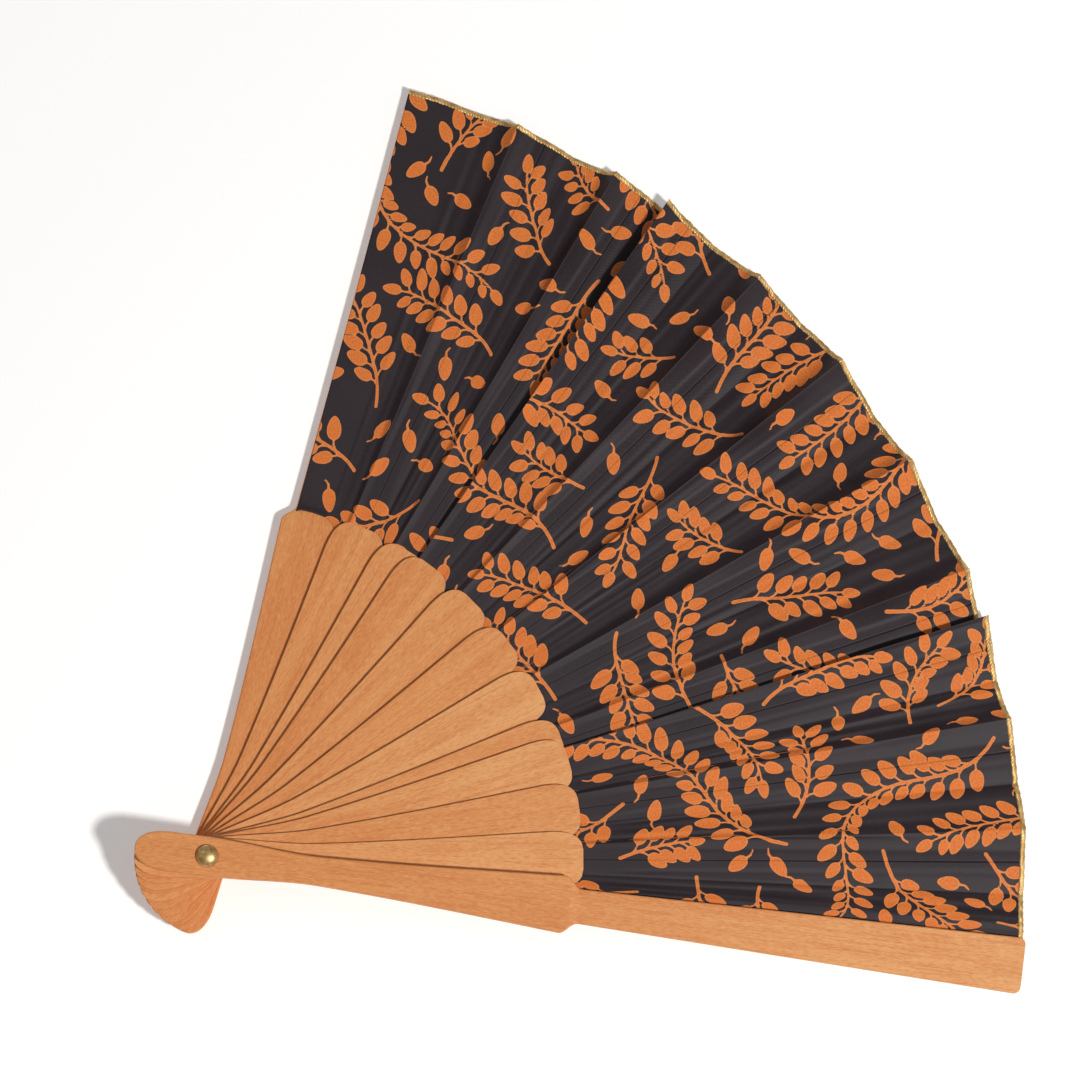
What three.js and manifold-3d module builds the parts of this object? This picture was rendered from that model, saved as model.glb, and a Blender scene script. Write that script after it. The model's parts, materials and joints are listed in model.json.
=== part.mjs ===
// A folding fan: two guards and ten sticks on one rivet, with a pleated cloth leaf edged in metallic ribbon.
// Millimetres, +Z up. Each stick is built along +X with the rivet's axis at the origin, then turned to its
// place, and the whole fan leans a little towards its front guard, as it does when it is laid down open.
import * as THREE from "three";
import { mergeVertices } from "three/addons/utils/BufferGeometryUtils.js";
import Module from "manifold-3d";

// Sizes.
const REACH = 210; // rivet's axis to the ends of the guards
const HEAD = 18.6; // rivet's axis to the round ends of the sticks
const HEAD_HALF = 5.0; // half the width at the rivet
const NECK_AT = 27; // where the sticks are slimmest
const NECK_HALF = 3.6;
const SHOULDER_AT = 88; // where a blade's round tip begins
const BLADE_HALF = 7.1;
const TIP_AT = 96; // the end of a blade's tip, where its rib goes on under the cloth
const RIB_HALF = [2.3, 1.7]; // a rib's half width at the blade and at its end
const RIB_END = 206;
const SLIM_HALF = [4.4, 7.2]; // a guard's slim part at its start and its end

const GUARD_THICK = 3.0;
const GUARD_SLIM_THICK = 2.2; // the guard beside the cloth, thinned on both faces
const BLADE_THICK = 0.9;
const RIB_THICK = 0.5;
const PITCH = 1.25; // one stick's height above the next
const STACK_GAP = 0.35; // between neighbouring blades

const STICKS = 10;
const GAPS = [8.4, 7.8, 4.2, 8.5, 8.4, 8.7, 8.8, 3.5, 7.5, 7.9, 7.4]; // degrees, rear to front
const REAR_GUARD_AT = 73.8; // degrees from +X, turning to the left

const LEAF_OUT = 207.2; // the cloth's outer edge
const LEAF_IN_GUARD = 97.2; // its inner edge beside the rear guard
const TIP_CLEAR = 0.9; // between a blade's tip and the cloth's inner edge
const LEAF_PAST_GUARD = 1.6; // degrees that the cloth reaches past the middle of the rear guard
const EDGING_IN = 207.5; // the ribbon along the cloth's outer edge
const EDGING_OUT = 209.6;
const CLOTH_THICK = 0.25;
const CLOTH_BELOW = 0.25; // below the next rib
const LEAF_STEP = 0.7; // degrees between the points of an arc

const SHANK_R = 1.15;
const HOLE_R = 1.25;
const DOME_R = 2.9;
const DOME_HIGH = 2.0;
const CAP_R = 2.9;
const CAP_HIGH = 0.9;
const RIVET_CLEAR = 0.08; // between the rivet's heads and the guards
const JOIN_GAP = 0.05; // between the rivet's own pieces

// The lean: about the rear guard's direction, so that the sticks' ends lie close to the floor, and then
// about the line across it, for the rivet's cap under the rear guard.
const LEAN = 3.55;
const NOD = 0.26;

const TOP_Z = GUARD_THICK + STACK_GAP + STICKS * PITCH; // the front guard's lower face
const stickZ = (k) => GUARD_THICK + STACK_GAP + (k - 1) * PITCH; // stick 1 is next to the rear guard
const stickAngle = (k) => REAR_GUARD_AT - GAPS.slice(0, k).reduce((a, b) => a + b, 0);

const wasm = await Module();
wasm.setup();

const rad = THREE.MathUtils.degToRad;

// Half width of a stick's blade from its head to the start of its tip.
function bladeHalf(x) {
  if (x < NECK_AT) {
    const t = THREE.MathUtils.smoothstep(x, 0, NECK_AT);
    return HEAD_HALF + (NECK_HALF - HEAD_HALF) * t;
  }
  const t = (x - NECK_AT) / (SHOULDER_AT - NECK_AT);
  const eased = t * t * (1.6 - 0.6 * t);
  return NECK_HALF + (BLADE_HALF - NECK_HALF) * (0.55 * t + 0.45 * eased);
}

// One side of the head and the blade, from the head's end to the given place.
function sideUpTo(end, steps = 16) {
  const side = [];
  for (let i = 0; i <= 10; i++) {
    const a = (i / 10) * (Math.PI / 2);
    const long = Math.pow(Math.cos(a), 0.8);
    side.push([-HEAD + 9.6 * (1 - long), HEAD_HALF * Math.pow(Math.sin(a), 0.9)]);
  }
  for (let i = 0; i <= steps; i++) {
    const x = (end * i) / steps;
    side.push([x, bladeHalf(x)]);
  }
  return side;
}

// A closed outline from one side, mirrored across the stick's line.
function outline(side) {
  const lower = side.map(([x, y]) => new THREE.Vector2(x, -y));
  const upper = side.filter(([, y]) => y > 1e-6).reverse();
  return lower.concat(upper.map(([x, y]) => new THREE.Vector2(x, y)));
}

function slab(points, low, high, hole = 0) {
  const shape = new THREE.Shape(points);
  if (hole) {
    const path = new THREE.Path();
    path.absarc(0, 0, hole, 0, 2 * Math.PI, true);
    shape.holes.push(path);
  }
  const made = new THREE.ExtrudeGeometry(shape, {
    depth: high - low,
    bevelEnabled: false,
    curveSegments: 16,
  });
  return made.translate(0, 0, low);
}

function solid(geometry) {
  const bare = new THREE.BufferGeometry();
  bare.setAttribute("position", geometry.getAttribute("position"));
  if (geometry.index) bare.setIndex(geometry.index);
  const merged = mergeVertices(bare, 1e-4);
  return new wasm.Manifold(
    new wasm.Mesh({
      numProp: 3,
      vertProperties: new Float32Array(merged.attributes.position.array),
      triVerts: new Uint32Array(merged.index.array),
    }),
  );
}

function geometryOf(made) {
  const mesh = made.getMesh();
  const out = new THREE.BufferGeometry();
  out.setAttribute("position", new THREE.BufferAttribute(mesh.vertProperties, 3));
  out.setIndex(new THREE.BufferAttribute(mesh.triVerts, 1));
  const flat = out.toNonIndexed();
  flat.computeVertexNormals();
  return flat;
}

// The round tip of a blade, from its shoulder to the place where the rib leaves it.
function tipSide() {
  const tip = [];
  for (let i = 1; i <= 12; i++) {
    const a = (i / 12) * 1.32;
    const x = SHOULDER_AT + (TIP_AT - SHOULDER_AT) * Math.pow(Math.sin(a), 0.75);
    tip.push([x, BLADE_HALF * Math.pow(Math.cos(a), 0.55)]);
  }
  return tip;
}

function stick() {
  const side = sideUpTo(SHOULDER_AT).concat(tipSide());
  side.push([TIP_AT, RIB_HALF[0] * 0.9]);
  side.push([TIP_AT, 0]);
  const blade = solid(slab(outline(side), 0, BLADE_THICK, HOLE_R));
  const rib = solid(
    slab(
      outline([
        [TIP_AT - 6, 0],
        [TIP_AT - 6, RIB_HALF[0]],
        [RIB_END - 1.2, RIB_HALF[1]],
        [RIB_END, RIB_HALF[1] * 0.5],
        [RIB_END, 0],
      ]),
      0,
      RIB_THICK,
    ),
  );
  return geometryOf(blade.add(rib));
}

function guard() {
  const wide = sideUpTo(SHOULDER_AT + 3.2, 18);
  wide.push([SHOULDER_AT + 6.4, SLIM_HALF[0] + 0.5], [SHOULDER_AT + 7.6, SLIM_HALF[0]]);
  wide.push([SHOULDER_AT + 7.6, 0]);
  const body = solid(slab(outline(wide), 0, GUARD_THICK, HOLE_R));
  const thin = (GUARD_THICK - GUARD_SLIM_THICK) / 2;
  const end = [];
  for (let i = 0; i <= 6; i++) {
    const a = (i / 6) * (Math.PI / 2);
    end.push([REACH - 1.6 * (1 - Math.sin(a)), SLIM_HALF[1] - 1.6 * (1 - Math.cos(a))]);
  }
  const slim = [[SHOULDER_AT + 2, 0], [SHOULDER_AT + 2, SLIM_HALF[0]], ...end, [REACH + 0.25, 0]];
  const rest = solid(slab(outline(slim), thin, GUARD_THICK - thin));
  return geometryOf(body.add(rest));
}

// The cloth's inner radius at an angle, in degrees, from the middle of the stick that it lies on: it keeps
// clear of the round tip of that stick's blade and reaches in below the next blade.
function leafInner(turned) {
  let reach = SHOULDER_AT + 0.6;
  for (const [x, y] of tipSide().concat([[TIP_AT, 0], [SHOULDER_AT, BLADE_HALF]]))
    if (THREE.MathUtils.radToDeg(Math.atan2(y, x)) >= turned - 0.35)
      reach = Math.max(reach, Math.hypot(x, y) + TIP_CLEAR);
  return reach;
}

// A ring sector between two angles, in degrees. inner is a radius, or a function of the angle turned.
function sector(inner, outer, from, to, low, high, lead = 0) {
  const steps = Math.max(2, Math.ceil((from + lead - to) / LEAF_STEP));
  const turned = (i) => -lead + ((from + lead - to) * i) / steps;
  const at = (r, i) => {
    const a = rad(from - turned(i));
    return new THREE.Vector2(r * Math.cos(a), r * Math.sin(a));
  };
  const points = [];
  for (let i = steps; i >= 0; i--) points.push(at(outer, i));
  for (let i = 0; i <= steps; i++)
    points.push(at(typeof inner === "number" ? inner : inner(turned(i)), i));
  return slab(points, low, high);
}

const sandalwood = new THREE.MeshStandardMaterial({ color: 0xe0a068, roughness: 0.55 });
const cloth = new THREE.MeshStandardMaterial({ color: 0x332b30, roughness: 0.75 });
const ribbon = new THREE.MeshStandardMaterial({ color: 0xc4963c, roughness: 0.4, metalness: 0.5 });
const brass = new THREE.MeshStandardMaterial({ color: 0x9a7a45, roughness: 0.35, metalness: 0.9 });
[sandalwood.name, cloth.name, ribbon.name, brass.name] = ["sandalwood", "cloth", "ribbon", "brass"];

const two = (n) => String(n).padStart(2, "0");
const fan = new THREE.Group();

function put(name, geometry, material, angle = 0, z = 0) {
  const mesh = new THREE.Mesh(geometry, material);
  mesh.name = name;
  mesh.rotation.z = rad(angle);
  mesh.position.z = z;
  fan.add(mesh);
  return mesh;
}

// The wood.
put("rear_guard", guard(), sandalwood, stickAngle(0), 0);
for (let k = 1; k <= STICKS; k++)
  put("stick_" + two(k), stick(), sandalwood, stickAngle(k), stickZ(k));
put("front_guard", guard(), sandalwood, stickAngle(STICKS + 1), TOP_Z);

// The cloth between each two neighbours, and the ribbon along it.
for (let k = 1; k <= STICKS + 1; k++) {
  const high = (k > STICKS ? TOP_Z : stickZ(k)) - CLOTH_BELOW;
  const [from, to, low] = [stickAngle(k - 1), stickAngle(k), high - CLOTH_THICK];
  const lead = k > 1 ? 0 : LEAF_PAST_GUARD;
  const inner = k > 1 ? leafInner : (turned) => (turned < 4.2 ? LEAF_IN_GUARD : leafInner(turned));
  put("leaf_gore_" + two(k), sector(inner, LEAF_OUT, from, to, low, high, lead), cloth);
  put("edging_" + two(k), sector(EDGING_IN, EDGING_OUT, from, to, low, high, lead), ribbon);
}

// The rivet: a shank, a domed head in front and the cap that holds it at the back.
function turned(name, profile) {
  const points = profile.map(([r, y]) => new THREE.Vector2(r, y));
  put(name, new THREE.LatheGeometry(points, 32).rotateX(Math.PI / 2), brass);
}
{
  const top = TOP_Z + GUARD_THICK + RIVET_CLEAR;
  const tail = -RIVET_CLEAR - 0.35;
  turned("rivet_shank", [
    [0, tail],
    [SHANK_R, tail],
    [SHANK_R, top - JOIN_GAP],
    [0, top - JOIN_GAP],
  ]);

  const dome = [[0, top], [DOME_R, top]];
  for (let i = 0; i <= 8; i++) {
    const a = (i / 8) * (Math.PI / 2);
    dome.push([i < 8 ? DOME_R * Math.cos(a) : 0, top + 0.3 + (DOME_HIGH - 0.3) * Math.sin(a)]);
  }
  turned("rivet_head", dome);

  const over = -RIVET_CLEAR;
  const cap = [[0, over - CAP_HIGH]];
  for (let i = 1; i <= 6; i++) {
    const a = (i / 6) * (Math.PI / 2);
    cap.push([CAP_R * Math.sin(a), over - 0.3 - (CAP_HIGH - 0.3) * Math.cos(a)]);
  }
  const bore = SHANK_R + JOIN_GAP;
  cap.push([CAP_R, over], [bore, over], [bore, tail - JOIN_GAP], [0, tail - JOIN_GAP]);
  turned("rivet_cap", cap);
}

// The fan laid down: leaned about the rear guard's direction and across it, then set down with the middle
// of its box's underside at the origin.
const along = new THREE.Vector3(Math.cos(rad(REAR_GUARD_AT)), Math.sin(rad(REAR_GUARD_AT)), 0);
const across = new THREE.Vector3(-along.y, along.x, 0);
fan.quaternion.setFromAxisAngle(along, rad(LEAN));
fan.quaternion.premultiply(new THREE.Quaternion().setFromAxisAngle(across, rad(NOD)));
fan.updateMatrixWorld(true);
const box = new THREE.Box3().setFromObject(fan, true);
const middle = box.getCenter(new THREE.Vector3());
fan.position.set(-middle.x, -middle.y, -box.min.z);

const root = new THREE.Group();
root.add(fan);

export default root;
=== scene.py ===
"""An open sandalwood folding fan: lofted wooden guards and sticks on a brass rivet, a pleated cloth leaf
with a printed sprig pattern, and a metallic ribbon along the leaf's edge. Lengths are in millimetres in
the fan's own frame, which has the rivet's axis as Z, until MM turns them into metres."""

import json
import math

import bpy
import numpy as np
from mathutils import Matrix, Quaternion, Vector


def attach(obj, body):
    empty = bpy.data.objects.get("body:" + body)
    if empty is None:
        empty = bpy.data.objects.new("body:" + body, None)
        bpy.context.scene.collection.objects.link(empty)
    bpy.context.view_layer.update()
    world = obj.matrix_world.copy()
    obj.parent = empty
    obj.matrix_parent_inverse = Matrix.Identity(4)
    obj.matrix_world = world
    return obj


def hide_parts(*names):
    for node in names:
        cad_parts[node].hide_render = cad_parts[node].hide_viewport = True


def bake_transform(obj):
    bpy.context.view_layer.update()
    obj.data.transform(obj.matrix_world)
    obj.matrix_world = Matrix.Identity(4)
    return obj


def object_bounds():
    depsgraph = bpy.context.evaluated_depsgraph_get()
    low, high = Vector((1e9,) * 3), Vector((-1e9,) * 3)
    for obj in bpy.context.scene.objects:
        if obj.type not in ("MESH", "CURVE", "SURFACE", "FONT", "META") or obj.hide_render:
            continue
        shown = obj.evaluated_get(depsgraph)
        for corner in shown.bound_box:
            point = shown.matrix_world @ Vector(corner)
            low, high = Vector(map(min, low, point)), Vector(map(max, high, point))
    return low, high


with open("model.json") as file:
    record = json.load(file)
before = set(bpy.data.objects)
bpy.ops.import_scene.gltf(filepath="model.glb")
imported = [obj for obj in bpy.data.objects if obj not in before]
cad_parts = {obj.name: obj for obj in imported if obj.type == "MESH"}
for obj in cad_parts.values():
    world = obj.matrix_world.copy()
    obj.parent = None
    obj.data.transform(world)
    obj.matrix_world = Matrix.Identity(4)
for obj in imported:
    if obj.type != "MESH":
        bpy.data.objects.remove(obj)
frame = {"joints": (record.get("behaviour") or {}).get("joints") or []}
cad_low, cad_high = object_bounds()
MM = 0.001

# ---------------------------------------------------------------- sizes, as in the CAD model
# REACH, NECK_AT, SHOULDER_AT, TIP_AT and RIB_END run out from the rivet, and HEAD runs the other way.
# HALF is half of a width. RIB_HALF and SLIM_HALF each have a value for the inner and for the outer end.
REACH, HEAD, HEAD_HALF = 210.0, 18.6, 5.0
NECK_AT, NECK_HALF = 27.0, 3.6
SHOULDER_AT, BLADE_HALF, TIP_AT = 88.0, 7.1, 96.0
RIB_HALF, RIB_END = (2.3, 1.7), 206.0
SLIM_HALF = (4.4, 7.2)
GUARD_THICK, GUARD_SLIM_THICK, BLADE_THICK, RIB_THICK = 3.0, 2.2, 0.9, 0.5
PITCH, STACK_GAP, STICKS = 1.25, 0.35, 10
GAPS = (8.4, 7.8, 4.2, 8.5, 8.4, 8.7, 8.8, 3.5, 7.5, 7.9, 7.4)  # degrees, from the rear guard on
REAR_AT = 73.8  # the rear guard's angle in degrees
LEAN, NOD = 3.55, 0.26  # degrees that the fan leans as it lies, about its rear guard and across it
TOP_Z = GUARD_THICK + STACK_GAP + STICKS * PITCH  # the front guard's underside
SLIM_INSET = (GUARD_THICK - GUARD_SLIM_THICK) / 2

# The cloth is pleated, and it's thinner and longer than in the CAD model. It ends inside the ribbon, which
# is folded over its edge and narrower than in the CAD model.
LEAF_MIDDLE, LEAF_END = 150.0, 208.9  # radii
EDGING_IN, EDGING_OUT = 208.2, 209.5
CLOTH_THICK = 0.08
FACE = 4.6  # degrees of cloth in one face of a pleat, so two faces for each gap

STICK_Z = [0.0] + [GUARD_THICK + STACK_GAP + k * PITCH for k in range(STICKS)] + [TOP_Z]
STICK_AT = [REAR_AT - sum(GAPS[:k]) for k in range(STICKS + 2)]
BODIES = ["rear_guard"] + [f"stick_{k:02d}" for k in range(1, STICKS + 1)] + ["front_guard"]

pivot = Vector(frame["joints"][0]["pos_m"])
along = Vector((math.cos(math.radians(REAR_AT)), math.sin(math.radians(REAR_AT)), 0))
across = Vector((-along.y, along.x, 0))
LAID = Quaternion(across, math.radians(NOD)) @ Quaternion(along, math.radians(LEAN))
PLACE = Matrix.Translation(pivot) @ LAID.to_matrix().to_4x4()
PLACE_ARRAY = np.array(PLACE)


# ---------------------------------------------------------------- small helpers
def to_row(points):
    """Fan-frame millimetres to metres in the row frame."""
    return (points * MM) @ PLACE_ARRAY[:3, :3].T + PLACE_ARRAY[:3, 3]


def new_object(name, vertices, faces, material):
    mesh = bpy.data.meshes.new(name)
    mesh.from_pydata(np.asarray(vertices).tolist(), [], faces)
    mesh.validate()
    mesh.materials.append(material)
    mesh.polygons.foreach_set("use_smooth", np.full(len(mesh.polygons), True))
    mesh.update()
    obj = bpy.data.objects.new(name, mesh)
    bpy.context.collection.objects.link(obj)
    return obj


def set_attribute(obj, name, values):
    found = obj.data.attributes.new(name, "FLOAT", "POINT")
    found.data.foreach_set("value", np.asarray(values, np.float32).ravel())


def smooth_step(t):
    t = np.clip(t, 0, 1)
    return t * t * (3 - 2 * t)


def grid_faces(rows, columns):
    """Quads of a grid whose points go row by row."""
    i, j = np.meshgrid(np.arange(rows - 1), np.arange(columns - 1), indexing="ij")
    a = (i * columns + j).ravel()
    return np.stack([a, a + 1, a + columns + 1, a + columns], 1).tolist()


class Nodes:
    """A short way to write a material's nodes."""

    def __init__(self, name):
        self.material = bpy.data.materials.new(name)
        self.material.use_nodes = True
        self.tree = self.material.node_tree
        self.shader = self.tree.nodes["Principled BSDF"]

    def add(self, kind, inputs=(), **settings):
        node = self.tree.nodes.new(kind)
        for key, value in settings.items():
            setattr(node, key, value)
        for key, value in dict(inputs).items():
            self.put(value, node.inputs[key])
        return node

    def put(self, value, socket):
        if isinstance(value, bpy.types.NodeSocket):
            self.tree.links.new(value, socket)
        else:
            socket.default_value = value

    def math(self, operation, *values):
        node = self.add("ShaderNodeMath", operation=operation)
        for k, value in enumerate(values):
            self.put(value, node.inputs[k])
        return node.outputs[0]

    def noise(self, vector, scale, detail=2.0, rough=0.5, distortion=0.0):
        inputs = {
            "Vector": vector,
            "Scale": scale,
            "Detail": detail,
            "Roughness": rough,
            "Distortion": distortion,
        }
        return self.add("ShaderNodeTexNoise", inputs).outputs["Fac"]

    def stretch(self, vector, scale):
        return self.add("ShaderNodeMapping", {"Vector": vector, "Scale": scale}).outputs[0]

    def ramp(self, value, low, high, to_low=0.0, to_high=1.0):
        """The value eased from low..high to to_low..to_high."""
        names = ("Value", "From Min", "From Max", "To Min", "To Max")
        inputs = dict(zip(names, (value, low, high, to_low, to_high)))
        return self.add("ShaderNodeMapRange", inputs, interpolation_type="SMOOTHSTEP").outputs[0]

    def mix(self, factor, a, b):
        """Colour a where the factor is 0, and colour b where it's 1."""
        node = self.add("ShaderNodeMix", data_type="RGBA", blend_type="MIX")
        self.put(factor, node.inputs[0])
        self.put(a, node.inputs[6])
        self.put(b, node.inputs[7])
        return node.outputs[2]

    def attribute(self, name):
        return self.add("ShaderNodeAttribute", attribute_name=name).outputs["Fac"]

    def bump(self, height, distance, strength):
        inputs = {"Height": height, "Distance": distance, "Strength": strength}
        return self.add("ShaderNodeBump", inputs).outputs[0]

    def surface(self, **values):
        for key, value in values.items():
            self.put(value, self.shader.inputs[key.replace("_", " ")])


def rgb(r, g, b):
    """A colour from its usual 0 to 255 values."""
    line = [v / 255 for v in (r, g, b)]
    return [v / 12.92 if v <= 0.04045 else ((v + 0.055) / 1.055) ** 2.4 for v in line] + [1.0]


# ---------------------------------------------------------------- materials
def make_wood():
    n = Nodes("sandalwood")
    place = n.add("ShaderNodeTexCoord").outputs["Object"]
    seed = n.attribute("seed")
    moved = n.add("ShaderNodeCombineXYZ", {"X": seed, "Y": seed, "Z": seed}).outputs[0]
    at = n.add("ShaderNodeVectorMath", {0: place, 1: moved}, operation="ADD").outputs[0]
    # The grain runs along X: broad streaks, fine lines, short dark flecks and a faint cross figure.
    broad = n.noise(n.stretch(at, (14, 150, 60)), 1.0, 3.0, 0.55, 0.3)
    lines = n.noise(n.stretch(at, (45, 1500, 500)), 1.0, 3.0, 0.6)
    flecks = n.noise(n.stretch(at, (620, 3400, 2400)), 1.0, 2.0, 0.6)
    figure = n.noise(n.stretch(at, (170, 260, 200)), 1.0, 3.0, 0.55, 1.2)
    # Each piece's lightness: its own tone, which differs at random, plus painted shade that darkens it
    # towards the rivet.
    tone_and_shade = n.attribute("tone_and_shade")
    mid = n.mix(n.ramp(tone_and_shade, 0.0, 1.0), rgb(211, 131, 70), rgb(222, 152, 92))
    light = n.mix(n.ramp(tone_and_shade, 0.0, 1.0), rgb(221, 148, 86), rgb(232, 172, 112))
    colour = n.mix(n.ramp(broad, 0.32, 0.68), mid, light)
    colour = n.mix(n.ramp(figure, 0.46, 0.68, 0.0, 0.6), colour, light)
    colour = n.mix(n.ramp(lines, 0.5, 0.68, 0.0, 0.42), colour, rgb(197, 112, 54))
    colour = n.mix(n.ramp(flecks, 0.49, 0.66, 0.0, 0.4), colour, rgb(188, 102, 47))
    colour = n.mix(n.ramp(flecks, 0.44, 0.3, 0.0, 0.3), colour, rgb(238, 182, 128))
    height = n.math("ADD", n.math("MULTIPLY", lines, 0.6), n.math("MULTIPLY", flecks, -0.5))
    n.surface(
        Base_Color=colour,
        Roughness=n.ramp(lines, 0.3, 0.75, 0.46, 0.62),
        Specular_IOR_Level=0.35,
        Normal=n.bump(height, 0.00005, 0.7),
    )
    return n.material


def make_cloth():
    n = Nodes("printed_cloth")
    u, v = n.attribute("cloth_across"), n.attribute("cloth_along")
    flat = n.add("ShaderNodeCombineXYZ", {"X": u, "Y": v}).outputs[0]
    # The ground: a close sateen with slight cloudiness and fine threads.
    cloud = n.noise(n.stretch(flat, (0.06, 0.06, 1)), 1.0, 3.0)
    threads = n.noise(n.stretch(flat, (2.2, 0.55, 1)), 1.6, 2.0, 0.7)
    ground = n.mix(n.ramp(cloud, 0.3, 0.7), rgb(33, 23, 28), rgb(41, 30, 36))
    ground = n.mix(n.ramp(threads, 0.35, 0.7, 0.0, 0.3), ground, rgb(54, 45, 51))
    # The print, from a distance field in millimetres, with a slight halo and uneven ink.
    field = n.attribute("print")
    wavy = n.noise(n.stretch(flat, (1, 1, 1)), 2.2, 2.0)
    edge = n.math("ADD", field, n.math("MULTIPLY", n.math("SUBTRACT", wavy, 0.5), 0.12))
    ink = n.mix(n.ramp(wavy, 0.3, 0.7), rgb(212, 108, 42), rgb(227, 130, 60))
    ink = n.mix(n.ramp(threads, 0.45, 0.75, 0.0, 0.28), ink, rgb(190, 90, 34))
    ink = n.mix(n.ramp(field, 0.02, 0.32, 0.45, 0.0), ink, rgb(240, 158, 92))
    printed = n.ramp(edge, -0.05, 0.06)
    colour = n.mix(printed, ground, ink)
    weave_u = n.math("SINE", n.math("MULTIPLY", u, 2 * math.pi / 0.42))
    weave_v = n.math("SINE", n.math("MULTIPLY", v, 2 * math.pi / 0.5))
    weave = n.math("ADD", n.math("MULTIPLY", weave_u, weave_v), n.math("MULTIPLY", threads, 0.8))
    n.surface(
        Base_Color=colour,
        Roughness=n.ramp(printed, 0, 1, 0.52, 0.66),
        Specular_IOR_Level=0.3,
        Sheen_Weight=0.08,
        Sheen_Roughness=0.4,
        Normal=n.bump(weave, 0.00003, 0.5),
    )
    return n.material


def make_cloth_back():
    """The unprinted side, where the ink barely shows."""
    n = Nodes("cloth_back")
    u, v = n.attribute("cloth_across"), n.attribute("cloth_along")
    flat = n.add("ShaderNodeCombineXYZ", {"X": u, "Y": v}).outputs[0]
    threads = n.noise(n.stretch(flat, (2.2, 0.55, 1)), 1.6, 2.0, 0.7)
    ground = n.mix(n.ramp(threads, 0.3, 0.7), rgb(46, 38, 41), rgb(66, 56, 60))
    through = n.ramp(n.attribute("print"), -0.15, 0.35, 0.0, 0.5)
    weave_u = n.math("SINE", n.math("MULTIPLY", u, 2 * math.pi / 0.42))
    weave_v = n.math("SINE", n.math("MULTIPLY", v, 2 * math.pi / 0.5))
    n.surface(
        Base_Color=n.mix(through, ground, rgb(112, 66, 42)),
        Roughness=n.ramp(threads, 0.3, 0.7, 0.66, 0.78),
        Specular_IOR_Level=0.25,
        Normal=n.bump(n.math("MULTIPLY", weave_u, weave_v), 0.00003, 0.5),
    )
    return n.material


def make_ribbon():
    n = Nodes("gold_ribbon")
    u, v = n.attribute("cloth_across"), n.attribute("cloth_along")
    flat = n.add("ShaderNodeCombineXYZ", {"X": u, "Y": v}).outputs[0]
    patch = n.noise(n.stretch(flat, (0.35, 0.8, 1)), 1.0, 2.0)
    fine = n.noise(n.stretch(flat, (5, 5, 1)), 1.0, 1.0)
    colour = n.mix(n.ramp(patch, 0.35, 0.65), rgb(176, 132, 70), rgb(224, 186, 120))
    colour = n.mix(n.ramp(fine, 0.5, 0.75, 0.0, 0.4), colour, rgb(246, 222, 168))
    slant = n.math("ADD", n.math("MULTIPLY", u, 7.0), n.math("MULTIPLY", v, 9.0))
    n.surface(
        Base_Color=colour,
        Metallic=0.55,
        Roughness=n.ramp(fine, 0.3, 0.7, 0.34, 0.55),
        Normal=n.bump(n.math("SINE", slant), 0.00005, 0.6),
    )
    return n.material


def make_brass():
    n = Nodes("aged_brass")
    place = n.add("ShaderNodeTexCoord").outputs["Object"]
    patina = n.noise(place, 900.0, 4.0, 0.6)
    marks = n.noise(place, 3500.0, 2.0)
    colour = n.mix(n.ramp(patina, 0.34, 0.62), rgb(172, 138, 86), rgb(218, 184, 126))
    n.surface(
        Base_Color=colour,
        Metallic=0.85,
        Roughness=n.ramp(patina, 0.3, 0.7, 0.5, 0.34),
        Normal=n.bump(marks, 0.00003, 0.4),
    )
    return n.material


WOOD, CLOTH, CLOTH_BACK = make_wood(), make_cloth(), make_cloth_back()
RIBBON, BRASS = make_ribbon(), make_brass()


# ---------------------------------------------------------------- wood
HEAD_ROUND = 9.6  # how much of the head's length its round end takes
TIP_ARC = 1.32  # radians of the blade tip's curve that are drawn, before its blunt end
GUARD_SHOULDER, GUARD_STEP = 3.2, 4.4  # how far past SHOULDER_AT the guard steps in, and over what length
CORNER = 1.6  # the radius of the corners at a guard's far end
ARC_STEPS = 14


def blade_half(x):
    """Half of a blade's width at a distance x from the rivet."""
    if x < NECK_AT:
        return HEAD_HALF + (NECK_HALF - HEAD_HALF) * float(smooth_step(x / NECK_AT))
    t = (x - NECK_AT) / (SHOULDER_AT - NECK_AT)
    eased = t * t * (1.6 - 0.6 * t)
    return NECK_HALF + (BLADE_HALF - NECK_HALF) * (0.55 * t + 0.45 * eased)


def head_stations():
    """(place, half width) round the head's end and along to the rivet."""
    found = []
    for i in range(1, ARC_STEPS + 1):
        a = i / ARC_STEPS * math.pi / 2
        found.append((-HEAD + HEAD_ROUND * (1 - math.cos(a) ** 0.8), HEAD_HALF * math.sin(a) ** 0.9))
    return found + [(x, HEAD_HALF) for x in (-7.0, -4.0, -1.0)]


def tip_stations():
    """(place, half width) from the shoulder round the blade's convex tip."""
    found = []
    for i in range(1, ARC_STEPS + 1):
        a = i / ARC_STEPS * TIP_ARC
        x = SHOULDER_AT + (TIP_AT - SHOULDER_AT) * math.sin(a) ** 0.75
        found.append((x, BLADE_HALF * math.cos(a) ** 0.55))
    return found


def tip_reach(turned):
    """The blade tip's radius at an angle in degrees from the stick's middle."""
    points = [(TIP_AT, 0.0)] + tip_stations()[::-1] + [(SHOULDER_AT, BLADE_HALF)]
    angles = [math.degrees(math.atan2(y, x)) for x, y in points]
    reaches = [math.hypot(x, y) for x, y in points]
    return np.interp(turned, angles, reaches)


def section(half, low, high, bevel):
    """A rounded oblong across a stick, as 20 points."""
    b = min(bevel, 0.49 * (high - low), 0.49 * half)
    ring = []
    corners = ((1, low + b, -90), (1, high - b, 0), (-1, high - b, 90), (-1, low + b, 180))
    for side, z, start in corners:
        for i in range(5):
            a = math.radians(start + 90 * i / 4)
            ring.append((side * (half - b) + b * math.cos(a), z + b * math.sin(a)))
    return ring


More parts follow.
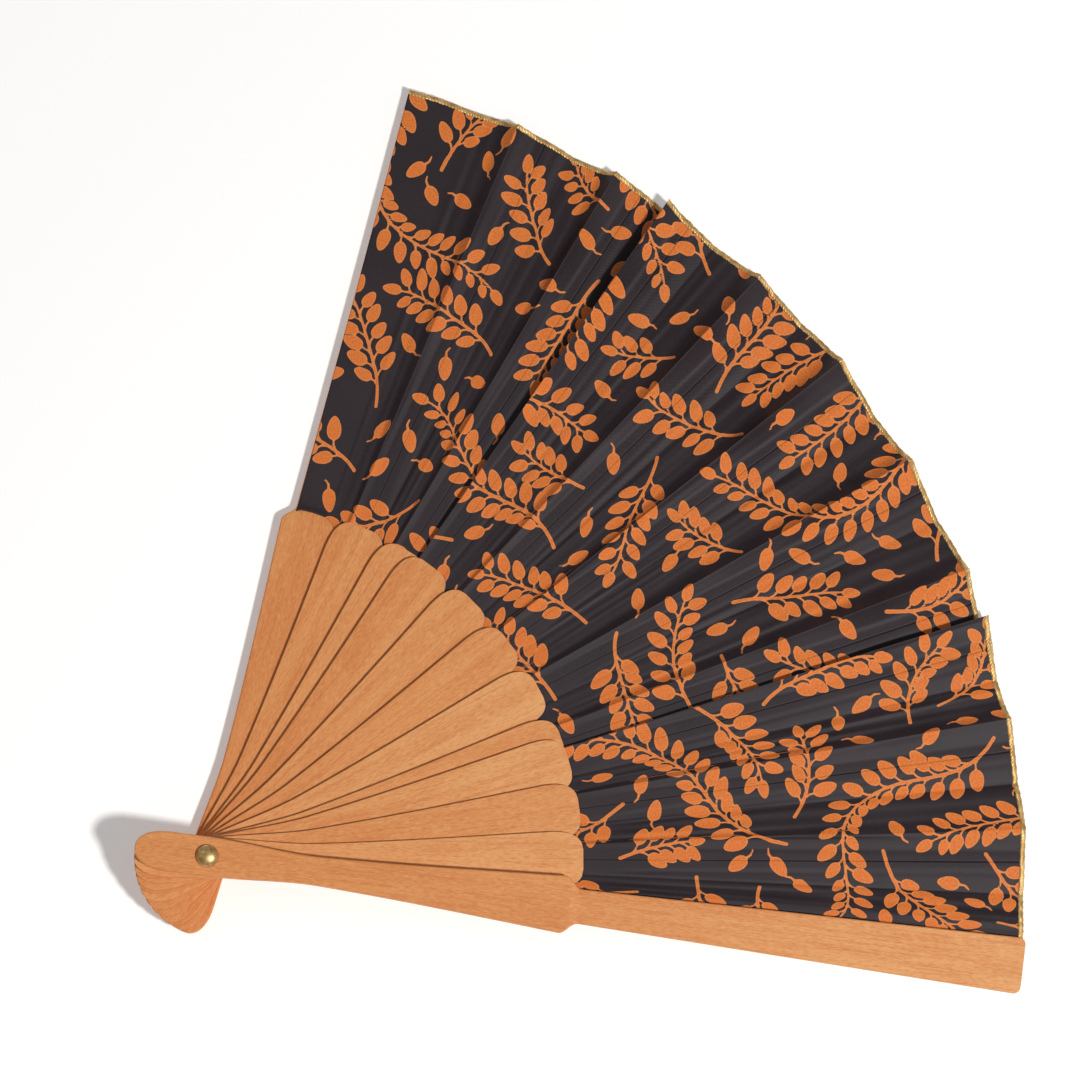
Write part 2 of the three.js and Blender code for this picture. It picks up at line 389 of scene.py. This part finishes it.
def loft(stations, bevel):
    """A solid along X through stations (x, half width, low, high), and its faces."""
    rings = [section(half, low, high, bevel) for _, half, low, high in stations]
    count = len(rings[0])
    points = [(s[0], y, z) for s, ring in zip(stations, rings) for y, z in ring]
    faces = []
    for i in range(len(rings) - 1):
        for j in range(count):
            a, b = i * count + j, i * count + (j + 1) % count
            faces.append((a, b, b + count, a + count))
    faces.append(tuple(range(count))[::-1])
    faces.append(tuple((len(rings) - 1) * count + j for j in range(count)))
    return points, faces


def wooden(name, k, stations, bevel, tone_and_shade):
    """Piece k of the stack, counted from the rear guard."""
    points, faces = loft(stations, bevel)
    obj = new_object(name, np.array(points) * MM, faces, WOOD)
    turn = Matrix.Rotation(math.radians(STICK_AT[k]), 4, "Z")
    obj.matrix_world = PLACE @ turn @ Matrix.Translation((0, 0, STICK_Z[k] * MM))
    count = len(obj.data.vertices)
    set_attribute(obj, "seed", np.full(count, 0.37 * k + 0.11))  # each piece is cut elsewhere in the grain
    # Painted shade: the tone runs from darker at the rivet to lighter at the outer end.
    along_stick = np.array([v.co.x for v in obj.data.vertices]) / MM / REACH
    set_attribute(obj, "tone_and_shade", tone_and_shade[0] + (tone_and_shade[1] - tone_and_shade[0]) * np.clip(along_stick, 0, 1))
    weighted = obj.modifiers.new("even_faces", "WEIGHTED_NORMAL")
    weighted.keep_sharp = True
    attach(obj, BODIES[k])
    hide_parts(BODIES[k])
    return obj


def stick_stations():
    """(place, half width, low, high) along a stick: head, blade, tip, and the rib behind the cloth."""
    found = [(x, w, 0.0, BLADE_THICK) for x, w in head_stations()]
    steps = 30
    found += [
        (x, blade_half(x), 0.0, BLADE_THICK)
        for x in (SHOULDER_AT * i / steps for i in range(steps + 1))
    ]
    found += [(x, w, 0.0, BLADE_THICK) for x, w in tip_stations()]
    found.append((TIP_AT - 0.08, RIB_HALF[0] + 0.5, 0.0, BLADE_THICK))
    found.append((TIP_AT, RIB_HALF[0] + 0.1, 0.0, RIB_THICK + 0.05))
    for i in range(13):
        x = TIP_AT + 1 + (RIB_END - 2 - TIP_AT) * i / 12
        half = RIB_HALF[0] + (RIB_HALF[1] - RIB_HALF[0]) * i / 12
        found.append((x, half, 0.0, RIB_THICK))
    found.append((RIB_END - 0.4, RIB_HALF[1] * 0.9, 0.0, RIB_THICK))
    found.append((RIB_END, RIB_HALF[1] * 0.5, 0.0, RIB_THICK))
    return found


def guard_stations():
    """(place, half width, low, high) along a guard: head, blade, shoulder, and the slim part."""
    low, high = 0.0, GUARD_THICK
    found = [(x, w, low, high) for x, w in head_stations()]
    steps = 32
    end = SHOULDER_AT + GUARD_SHOULDER
    found += [(x, blade_half(x), low, high) for x in (end * i / steps for i in range(steps + 1))]
    # The shoulder steps in beside the cloth and thins a little.
    for i in range(1, 10):
        t = i / 9
        eased = float(smooth_step(t))
        half = blade_half(end) + (SLIM_HALF[0] - blade_half(end)) * eased
        inset = SLIM_INSET * float(smooth_step((t - 0.35) / 0.65))
        found.append((end + GUARD_STEP * t, half, low + inset, high - inset))
    low, high = low + SLIM_INSET, high - SLIM_INSET
    start, steps = end + GUARD_STEP, 26
    for i in range(1, steps + 1):
        t = i / steps
        half = SLIM_HALF[0] + (SLIM_HALF[1] - SLIM_HALF[0]) * t
        found.append((start + (REACH - CORNER - start) * t, half, low, high))
    for i in range(1, 7):
        a = i / 6 * math.pi / 2
        half = SLIM_HALF[1] - CORNER * (1 - math.cos(a))
        found.append((REACH - CORNER * (1 - math.sin(a)), half, low, high))
    return found


# How light each piece is, from 0 to 1, at the rivet and at the outer end: the pieces differ at random in
# tone, and each is darker towards the rivet as painted shade.
TONES_AND_SHADE = [(0.1, 0.35), (0.1, 0.5), (0.15, 0.5), (0.1, 0.6), (0.2, 0.7), (0.1, 0.5), (0.4, 1.1)]
TONES_AND_SHADE += [(0.2, 0.8), (0.4, 1.0), (0.3, 0.9), (0.4, 1.1), (0.0, 0.65)]
GUARD_BEVEL, STICK_BEVEL = 0.5, 0.16
wood = [wooden("guard_rear", 0, guard_stations(), GUARD_BEVEL, TONES_AND_SHADE[0])]
for k in range(1, STICKS + 1):
    wood.append(wooden(f"sandalwood_stick_{k:02d}", k, stick_stations(), STICK_BEVEL, TONES_AND_SHADE[k]))
wood.append(wooden("guard_front", STICKS + 1, guard_stations(), GUARD_BEVEL, TONES_AND_SHADE[-1]))


# ---------------------------------------------------------------- rivet
def turned(name, node, profile, segments=64):
    """A turned piece from (radius, height) pairs, from the axis back to the axis."""
    points, faces, rings = [], [], []
    for r, z in profile:
        if r < 1e-6:
            rings.append([len(points)])
            points.append((0, 0, z))
            continue
        rings.append(list(range(len(points), len(points) + segments)))
        for i in range(segments):
            a = 2 * math.pi * i / segments
            points.append((r * math.cos(a), r * math.sin(a), z))
    for one, two in zip(rings, rings[1:]):
        for i in range(segments):
            j = (i + 1) % segments
            corners = [one[i % len(one)], one[j % len(one)], two[j % len(two)], two[i % len(two)]]
            unique = list(dict.fromkeys(corners))
            if len(unique) > 2:
                faces.append(tuple(unique))
    obj = new_object(name, np.array(points) * MM, faces, BRASS)
    obj.matrix_world = PLACE
    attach(obj, "rear_guard")
    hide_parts(node)
    return obj


DOME_HALF, DOME_HIGH, DOME_STEPS = 2.9, 1.72, 16
CAP_STEPS = 8
top = TOP_Z + GUARD_THICK + 0.08  # a hair above the front guard
dome = [(0, top), (2.6, top), (2.82, top + 0.06), (DOME_HALF, top + 0.22)]
for i in range(1, DOME_STEPS + 1):
    a = i / DOME_STEPS * math.pi / 2
    r = DOME_HALF * math.cos(a) if i < DOME_STEPS else 0
    dome.append((r, top + 0.28 + DOME_HIGH * math.sin(a)))
turned("rivet_dome", "rivet_head", dome)
cap = [(0, -0.98), (1.0, -0.98)]
for i in range(1, CAP_STEPS + 1):
    a = i / CAP_STEPS * math.pi / 2
    cap.append((1.0 + 1.9 * math.sin(a), -0.38 - 0.6 * math.cos(a)))
turned("rivet_tail_cap", "rivet_cap", cap + [(2.9, -0.16), (2.8, -0.08), (0, -0.08)])
bpy.data.objects["rivet_shank"].material_slots[0].material = BRASS


# ---------------------------------------------------------------- the printed pattern
PRINT_SEED = 41
LEAF_LONG, LEAF_WIDE = 5.95, 3.45
STALK = (1.75, 1.25)  # a leaf's stalk on a sprig, in two straight parts
SINGLE_STALK = (1.3, 1.4)  # and on a single leaf
PAIR_EVERY = 4.5  # between pairs of leaves along a stem
SPRIG_ROOM, STALK_ROOM, SINGLE_ROOM = 6.0, 2.2, 3.9  # what each shape keeps free round it
SPRIG_NEEDS = 5.6  # what a new sprig needs beside those
LEAVES_APART = 0.14  # the line between two leaves that meet
SPRIGS, SHORT_SPRIGS, SPRIG_TRIES, SINGLE_TRIES = 42, 14, 500, 4000
SHAPE_MARGIN = 9.0  # no part of a shape is further than this from its stems


def make_shapes():
    """Long vines, sprigs and single leaves over the flat cloth, each as (leaves, stems)."""
    rng = np.random.default_rng(PRINT_SEED)
    taken, shapes = np.zeros((0, 3)), []
    span = 2 * FACE * len(GAPS)

    def anywhere():
        """A point of the cloth, or a little past its edges."""
        a = math.radians(rng.uniform(-3.0, span + 2.0))
        r = math.sqrt(rng.uniform(92.0**2, 212.0**2))
        return r * math.cos(a), r * math.sin(a)

    def spine(x, y, heading, length, bend, sway, steps=26):
        """The points of a curved stem centred on a point, and its direction at each."""
        t = np.linspace(0, 1, steps)
        angles = heading + bend * (t - 0.5) + sway * np.sin(2 * math.pi * t)
        step = length / (steps - 1)
        dx, dy = np.cos(angles) * step, np.sin(angles) * step
        px = np.concatenate([[0], np.cumsum(dx[:-1])])
        py = np.concatenate([[0], np.cumsum(dy[:-1])])
        return px - px.mean() + x, py - py.mean() + y, angles

    def free(x, y, radius):
        """Whether nothing is printed yet within the radius of the points."""
        if not len(taken):
            return True
        gap = np.hypot(taken[:, 0][:, None] - x, taken[:, 1][:, None] - y)
        return bool((gap > taken[:, 2][:, None] + radius).all())

    def leaf(x, y, angle, scale):
        """An egg-shaped leaf whose base is at the point."""
        return (x, y, angle, LEAF_LONG * scale * rng.uniform(0.92, 1.06), LEAF_WIDE * scale)

    def sprig(length, bend, sway, scale=1.0):
        """A stem with leaves in pairs, smaller towards its tip and on the inner side of a bend."""
        nonlocal taken
        for _ in range(SPRIG_TRIES):
            x, y = anywhere()
            px, py, angles = spine(x, y, rng.uniform(0, 2 * math.pi), length, bend, sway)
            if not free(px, py, SPRIG_NEEDS * scale):
                continue
            radii = np.full(len(px), SPRIG_ROOM * scale)
            radii[:4] = STALK_ROOM
            taken = np.vstack([taken, np.stack([px, py, radii], 1)])
            leaves, stems = [], []
            widths = np.linspace(0.48, 0.26, len(px)) * scale
            stems.append((px, py, widths))
            bare = 0.17 if length < 45 else 0.08
            pairs = max(3, round(length * (1 - bare) / (PAIR_EVERY * scale)))
            for i in range(pairs):
                for side in (-1, 1):
                    t = bare + (0.97 - bare) * (i + 0.25 * (side + 1)) / pairs
                    place = t * (len(px) - 1)
                    bx = np.interp(place, range(len(px)), px)
                    by = np.interp(place, range(len(px)), py)
                    a = np.interp(place, range(len(px)), angles)
                    turn = np.interp(place + 2, range(len(px)), angles) - a
                    inner = min(max(side * turn * 1.6, -0.2), 0.3)
                    reach = scale * (1.05 - 0.22 * t) * rng.uniform(0.92, 1.08) * (1 - 0.5 * max(inner, 0))
                    one, two = a + side * (0.5 - 0.4 * inner), a + side * (0.86 - 0.5 * inner)
                    mx, my = bx + STALK[0] * reach * math.cos(one), by + STALK[0] * reach * math.sin(one)
                    ex, ey = mx + STALK[1] * reach * math.cos(two), my + STALK[1] * reach * math.sin(two)
                    stem = (np.array([bx, mx, ex]), np.array([by, my, ey]), np.full(3, 0.25 * scale))
                    stems.append(stem)
                    tilt = two + side * rng.uniform(-0.1, 0.14)
                    leaves.append(leaf(ex, ey, tilt, reach * (1.02 - 0.25 * max(inner, 0))))
            leaves.append(leaf(px[-1], py[-1], angles[-1], 0.82 * scale))
            shapes.append((leaves, stems))
            return

    bends = [(0.5, 0.6), (-0.7, 0.5), (0.9, -0.5), (-0.4, 0.7)]
    bends += [(0.6, -0.6), (1.1, 0.3), (-0.9, -0.5), (0.2, 0.8)]
    for bend, sway in bends:
        sprig(rng.uniform(62, 92), bend, sway)
    for _ in range(SPRIGS):
        sprig(rng.uniform(25, 34), rng.choice([-1, 1]) * rng.uniform(0.3, 1.1), rng.uniform(-0.2, 0.2))
    for _ in range(SHORT_SPRIGS):
        sprig(rng.uniform(16, 20), rng.choice([-1, 1]) * rng.uniform(0.2, 0.7), 0.0, 0.94)
    for _ in range(SINGLE_TRIES):
        x, y = anywhere()
        if not free(np.array([x]), np.array([y]), SINGLE_ROOM):
            continue
        taken = np.vstack([taken, [[x, y, SINGLE_ROOM]]])
        a, turn = rng.uniform(0, 2 * math.pi), rng.choice([-1, 1]) * 0.6
        back = 2.85  # so that the leaf is centred on the point
        bx, by = x - back * math.cos(a), y - back * math.sin(a)
        mx, my = bx - SINGLE_STALK[0] * math.cos(a), by - SINGLE_STALK[0] * math.sin(a)
        bent = a + turn
        ex, ey = mx - SINGLE_STALK[1] * math.cos(bent), my - SINGLE_STALK[1] * math.sin(bent)
        stem = (np.array([ex, mx, bx]), np.array([ey, my, by]), np.array([0.22, 0.27, 0.34]))
        shapes.append(([leaf(bx, by, a, 1.0)], [stem]))
    return shapes


def printed_field(x, y, shapes):
    """Millimetres inside the print's nearest shape, below zero outside, at points of the flat cloth."""
    deepest, second, lines = (np.full(len(x), -1.0) for _ in range(3))
    for leaves, stems in shapes:
        sx = np.concatenate([s[0] for s in stems])
        sy = np.concatenate([s[1] for s in stems])
        near = (x > sx.min() - SHAPE_MARGIN) & (x < sx.max() + SHAPE_MARGIN)
        near &= (y > sy.min() - SHAPE_MARGIN) & (y < sy.max() + SHAPE_MARGIN)
        rows = np.flatnonzero(near)
        if not len(rows):
            continue
        px, py, one, two, best = x[rows], y[rows], deepest[rows], second[rows], lines[rows]
        for lx, ly, angle, length, width in leaves:
            c, s = math.cos(angle), math.sin(angle)
            a = (px - lx) * c + (py - ly) * s
            b = -(px - lx) * s + (py - ly) * c
            t = 2 * a / length - 1
            half = width / 2 * (1 - 0.2 * np.clip(t, -1, 1))
            q = np.sqrt(t * t + (b / half) ** 2)
            inside = (1 - q) * width / 2
            two = np.maximum(two, np.minimum(one, inside))
            one = np.maximum(one, inside)
        for lx, ly, widths in stems:
            for i in range(len(lx) - 1):
                dx, dy = lx[i + 1] - lx[i], ly[i + 1] - ly[i]
                t = np.clip(((px - lx[i]) * dx + (py - ly[i]) * dy) / (dx * dx + dy * dy), 0, 1)
                away = np.hypot(px - lx[i] - t * dx, py - ly[i] - t * dy)
                best = np.maximum(best, widths[i] + (widths[i + 1] - widths[i]) * t - away)
        deepest[rows], second[rows], lines[rows] = one, two, best
    # Where two leaves meet, a fine dark line stays between them.
    return np.maximum(np.minimum(deepest, deepest - second - LEAVES_APART), lines)


SHAPES = make_shapes()

# ---------------------------------------------------------------- the leaf
# The cloth's height on each piece of wood, and how far its two fold lines stand above and below that
# at the outer edge. Folded up, every layer keeps its own height, so the pleats nest.
ABOVE_WOOD, BELOW_GUARD = 0.1, 0.14
ON_WOOD = [GUARD_THICK - SLIM_INSET + ABOVE_WOOD]
ON_WOOD += [z + RIB_THICK + ABOVE_WOOD for z in STICK_Z[1:-1]] + [TOP_Z + SLIM_INSET - BELOW_GUARD]
HILL = [0.0, 2.8, 3.5, 4.1, 3.9, 3.9, 3.7, 3.4, 2.45, 1.5, 0.6, 0.0]
VALLEY = [0.0, 0.35, 0.7, 0.8, 0.7, 0.65, 0.6, 0.7, 0.8, 0.8, 0.8, 0.0]


def rib_edge(r):
    """Half of a rib's width in degrees, and a little more."""
    t = np.clip((r - TIP_AT) / (RIB_END - TIP_AT), 0, 1)
    return np.degrees((RIB_HALF[0] + (RIB_HALF[1] - RIB_HALF[0]) * t) / r) + 0.12


def guard_edge(r):
    """How far the cloth reaches over a guard, in degrees: nearly to its edge, and past it further out."""
    t = (r - TIP_AT) / (REACH - TIP_AT)
    half = SLIM_HALF[0] + (SLIM_HALF[1] - SLIM_HALF[0]) * t
    return np.degrees(half / r) - 0.12 + 0.26 * np.clip(t, 0, 1)


def relief(k, side, closed, r, steep):
    """How far a face stands off beyond the rib. closed is the angle from the stick when folded up."""
    free = np.clip((np.abs(closed) - rib_edge(r)) / (FACE / 2 - rib_edge(r)), 0, 1)
    grown = 0.12 + 0.88 * smooth_step((r - 90) / 125)
    ripple = 1 + 0.10 * np.sin(r / 9.0) + 0.07 * np.sin(r / 4.1 + 1.0)
    amount = (HILL if side > 0 else VALLEY)[k]
    return side * amount * grown * ripple * free**steep


NARROW = 6.0  # degrees


def slack(k):
    """Over how much of the middle face the turn is shared: all of it across a wide gap. In a narrow gap
    the rest of the face folds back."""
    return FACE if GAPS[k - 1] > NARROW else GAPS[k - 1] / 2


def cloth_point(k, u, r):
    """Where the cloth's point u degrees into gore k lies: the angle turned from the stick before it, the
    height, and the weight, which is its share of the next stick's turn."""
    before, after = k - 1, k
    first, last = u <= FACE / 2, u > 1.5 * FACE
    closed = np.where(first, -u, np.where(last, 2 * FACE - u, u - FACE))
    weight = np.clip((u - FACE / 2) / slack(k), 0, 1)
    turned_by = weight * GAPS[k - 1] - closed
    edge = rib_edge(r)
    under = STICK_Z[after] - 0.13 if after <= STICKS else ON_WOOD[after] - 0.02
    knots = [np.full_like(edge, -FACE / 2), -edge, edge, np.full_like(edge, FACE / 2)]
    levels = [ON_WOOD[before], ON_WOOD[before] + 0.14, under, ON_WOOD[after]]
    free = np.full_like(u, levels[0])
    for i in range(3):
        t = np.clip((closed - knots[i]) / (knots[i + 1] - knots[i]), 0, 1)
        free = np.where(closed > knots[i], levels[i] + (levels[i + 1] - levels[i]) * smooth_step(t), free)
    # The hidden face climbs late and steeply to the ridge; the faces glued to the wood slope gently.
    steep = np.where(first | last, 1.3, 2.2)
    down = relief(before, -1, np.minimum(closed, 0), r, steep)
    up = relief(after, 1, np.maximum(closed, 0), r, steep)
    height = np.where(first, ON_WOOD[before] + down, np.where(last, ON_WOOD[after] + up, free + down + up))
    # A narrow groove runs along each side of a rib, where the cloth leaves it.
    groove = 0.2 * np.exp(-(((np.abs(closed) - edge - 0.22) / 0.13) ** 2)) * smooth_step((r - 100) / 20)
    on_rib = (first & (before > 0)) | (last & (after <= STICKS))
    height = np.where(on_rib, height - groove, height)
    if before == 0:  # the cloth reaches back over the rear guard, and up on to its shoulder
        height = np.where(u < 0, ON_WOOD[0], height)
        height = np.where(first, height + 0.42 * (1 - smooth_step((r - 93.5) / 3.5)), height)
    return turned_by, height, weight


CREASES = 13  # in each gore


def creases(k, u, r):
    """Soft creases and slight sag in the free cloth."""
    rng = np.random.default_rng(700 + k)
    total = np.zeros_like(u)
    for _ in range(CREASES):
        centre, slope = rng.uniform(0.9, 8.3), rng.uniform(-0.012, 0.012)
        wide, amount = rng.uniform(0.14, 0.4), rng.choice([-1, -1, 1]) * rng.uniform(0.1, 0.24)
        middle, reach = rng.uniform(105, 200), rng.uniform(18, 55)
        line = u - centre - slope * (r - LEAF_MIDDLE)
        total += amount * np.exp(-((line / wide) ** 2)) * np.exp(-(((r - middle) / reach) ** 2))
    wood_before = guard_edge(r) if k == 1 else rib_edge(r)
    wood_after = guard_edge(r) if k > STICKS else rib_edge(r)
    clear = smooth_step(np.minimum(u - wood_before, 2 * FACE - u - wood_after) / 0.8)
    return total * clear * smooth_step((r - 95) / 18)


def columns(k):
    """Places across gore k in degrees of cloth, closer together at the folds."""
    places = [np.linspace(0, 2 * FACE, 75)]
    for at in {FACE / 2, FACE / 2 + slack(k), 1.5 * FACE}:
        places.append(np.arange(at - 0.36, at + 0.361, 0.045))
    found = np.unique(np.round(np.concatenate(places), 4))
    return found[(found >= 0) & (found <= 2 * FACE)]


def soften(turned_by, height):
    """Rounds the folds a little, along each arc of the grid."""
    for _ in range(3):
        for path in (turned_by, height):
            path[:, 1:-1] = 0.25 * path[:, :-2] + 0.5 * path[:, 1:-1] + 0.25 * path[:, 2:]


BLADE_SPREAD = 4.62  # degrees from a blade's middle to its shoulder
BESIDE_TIP = 89.5  # the cloth's inner radius where no tip is in its way


def inner_edge(k, u):
    """The cloth's inner radius, close to the round tips of the blades that it meets."""
    gap = GAPS[k - 1]
    turned_by, _, _ = cloth_point(k, u, np.full_like(u, 100.0))
    clearance = np.where((u < FACE / 2) | (u > 1.5 * FACE), -0.12, 0.12)
    tip_before = tip_reach(np.clip(turned_by, 0, BLADE_SPREAD))
    beside = turned_by < BLADE_SPREAD + 0.08
    if k == 1:  # over the end of the rear guard's blade, which then looks as round as a stick's
        over_guard = np.where(turned_by < 3.2, 1.0, 0.6)
        before = np.where(beside, tip_before - over_guard, BESIDE_TIP)
    else:
        before = np.where(beside, tip_before + clearance, BESIDE_TIP)
    after = tip_reach(np.clip(np.abs(gap - turned_by), 0, BLADE_SPREAD)) + clearance
    if k == STICKS + 1:
        after = np.full_like(u, BESIDE_TIP)
    return np.where(u > FACE / 2 + gap / 2, after, before)


def place_points(k, u, r):
    """Fan-frame points of gore k."""
    turned_by, height, weight = cloth_point(k, u, r)
    height = height + creases(k, u, r) * (u >= 0)
    soften(turned_by, height)
    angle = np.radians(STICK_AT[k - 1] - turned_by)
    bow = WANDER[k - 1] * np.sin(np.pi * np.clip(u, 0, 2 * FACE) / (2 * FACE)) ** 2
    step = STEP[k - 1] * np.interp(u, (0, FACE / 2, 1.5 * FACE, 2 * FACE), (0.0, -0.6, 0.6, 0.0))
    if k == 1:  # out to the end of the guard that it covers
        step = step + 0.75 * (1 - smooth_step(u / 4.5))
    reach = r + (bow + step) * np.clip((r - LEAF_MIDDLE) / 58, 0, 1) ** 2
    points = np.stack([reach * np.cos(angle), reach * np.sin(angle), height], -1)
    return points, weight


# How the rim bows out or in over each gore, and how far it steps out from valley to ridge.
WANDER = (0.3, -0.5, 0.4, -0.3, 0.4, -0.4, 0.3, 0.5, -0.4, 0.3, -0.2)
STEP = (0.5, 0.9, 1.7, 0.9, 0.8, 1.1, 1.3, 2.0, 0.8, 0.6, 0.3)
FLOOR_AT = cad_low.z + 0.00012  # the lowest that the cloth may hang, in metres


def join_bodies(obj):
    """Bakes the piece's placement into its mesh. The fold lines meet at the rivet."""
    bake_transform(obj)


GORE_ROWS = 250


def make_gore(k):
    u_line = columns(k)
    t = np.linspace(0, 1, GORE_ROWS)[:, None]
    inner = inner_edge(k, u_line)[None, :]
    if k == 1:  # the cloth reaches back over the rear guard, by fewer degrees at the outer end
        extra = -np.linspace(1, 0, 17)[:-1]
        u_line = np.concatenate([extra, u_line])
        inner = np.concatenate([(tip_reach(-extra * 3.0) - 1.0)[None, :], inner], 1)
    r = inner + (LEAF_END - inner) * t
    u = np.repeat(u_line[None, :], GORE_ROWS, 0)
    if k == 1:
        u = np.where(u < 0, u * guard_edge(r), u)
    points, weight = place_points(k, u, r)
    count = len(u_line)
    placed = to_row(points.reshape(-1, 3))
    placed[:, 2] = np.maximum(placed[:, 2], FLOOR_AT)
    obj = new_object(f"printed_leaf_{k:02d}", placed, grid_faces(GORE_ROWS, count), CLOTH)
    flat_angle = np.radians((k - 1) * 2 * FACE + u)
    x, y = (r * np.cos(flat_angle)).ravel(), (r * np.sin(flat_angle)).ravel()
    set_attribute(obj, "print", printed_field(x, y, SHAPES))
    set_attribute(obj, "cloth_across", flat_angle * LEAF_MIDDLE)
    set_attribute(obj, "cloth_along", r)
    join_bodies(obj)
    obj.data.materials.append(CLOTH_BACK)
    thick = obj.modifiers.new("cloth_thickness", "SOLIDIFY")
    thick.thickness, thick.offset, thick.material_offset = CLOTH_THICK * MM, -1, 1
    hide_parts(f"leaf_gore_{k:02d}")
    return obj


EDGING_MIDDLE = 208.4  # the radius whose height and bow the ribbon follows


def make_edging(k):
    u_line = columns(k)
    if k == 1:
        u_line = np.concatenate([-np.linspace(1, 0, 13)[:-1] * guard_edge(EDGING_MIDDLE), u_line])
    profile = [(EDGING_IN, 0.1), (EDGING_IN + 0.12, 0.2), (208.6, 0.27), (209.1, 0.25), (209.4, 0.14)]
    profile += [(EDGING_OUT, 0.0)] + [(x, -z) for x, z in profile[::-1]]
    r = np.array([p[0] for p in profile])[:, None] + np.zeros((1, len(u_line)))
    u = np.repeat(u_line[None, :], len(profile), 0)
    middle, weight = place_points(k, u, np.full_like(r, EDGING_MIDDLE))
    wavy = 0.06 * np.sin(u * 9.0 + k) + 0.04 * np.sin(u * 23.0)
    angle = np.arctan2(middle[..., 1], middle[..., 0])
    reach = np.hypot(middle[..., 0], middle[..., 1]) - EDGING_MIDDLE + r + wavy
    lift = np.array([p[1] for p in profile])[:, None]
    points = np.stack([reach * np.cos(angle), reach * np.sin(angle), middle[..., 2] + lift], -1)
    placed = to_row(points.reshape(-1, 3))
    placed[:, 2] = np.maximum(placed[:, 2], FLOOR_AT)
    obj = new_object(f"gold_ribbon_{k:02d}", placed, grid_faces(len(profile), len(u_line)), RIBBON)
    set_attribute(obj, "cloth_across", np.radians((k - 1) * 2 * FACE + u) * 208)  # along the rim
    set_attribute(obj, "cloth_along", r)
    join_bodies(obj)
    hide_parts(f"edging_{k:02d}")
    return obj


for k in range(1, STICKS + 2):
    gore, ribbon = make_gore(k), make_edging(k)

# ---------------------------------------------------------------- camera, stage and light
camera = bpy.data.objects.new("camera", bpy.data.cameras.new("camera"))
bpy.context.collection.objects.link(camera)
elevation = math.radians(80.2)
far = 1.6  # metres from the point aimed at
aim = Vector((-0.0106, -0.0015, 0.008))
camera.location = aim + Vector((0, -math.cos(elevation), math.sin(elevation))) * far
camera.rotation_euler = (math.pi / 2 - elevation, 0, 0)
camera.data.lens = 206.6
camera.data.clip_start, camera.data.clip_end = 0.01, 20
bpy.context.scene.camera = camera

bpy.ops.mesh.primitive_plane_add(size=6, location=(0, 0, cad_low.z - 0.0002))
floor = bpy.context.object
floor.name = "pale_floor"
pale = Nodes("pale_floor")
pale.surface(Base_Color=(0.98, 0.98, 0.98, 1), Roughness=0.8, Specular_IOR_Level=0.1)
pale.surface(Emission_Color=(1, 1, 1, 1), Emission_Strength=0.19)
floor.data.materials.append(pale.material)


def lamp(name, where, size, power, colour):
    """A round lamp that points at the fan."""
    data = bpy.data.lights.new(name, "AREA")
    data.shape, data.size, data.energy, data.color = "DISK", size, power, colour
    obj = bpy.data.objects.new(name, data)
    bpy.context.collection.objects.link(obj)
    obj.location = where
    obj.rotation_euler = (-Vector(where)).to_track_quat("-Z", "Y").to_euler()


lamp("key", (0.6, -0.5, 1.25), 0.15, 16.3, (1.0, 0.98, 0.955))
lamp("fill", (-1.0, 0.5, 1.7), 1.2, 2.5, (0.97, 0.98, 1.0))

world = bpy.data.worlds.new("studio")
world.use_nodes = True
world.node_tree.nodes["Background"].inputs["Color"].default_value = (1, 1, 1, 1)
world.node_tree.nodes["Background"].inputs["Strength"].default_value = 0.22
bpy.context.scene.world = world
bpy.context.scene.view_settings.view_transform = "Standard"

bpy.context.view_layer.update()
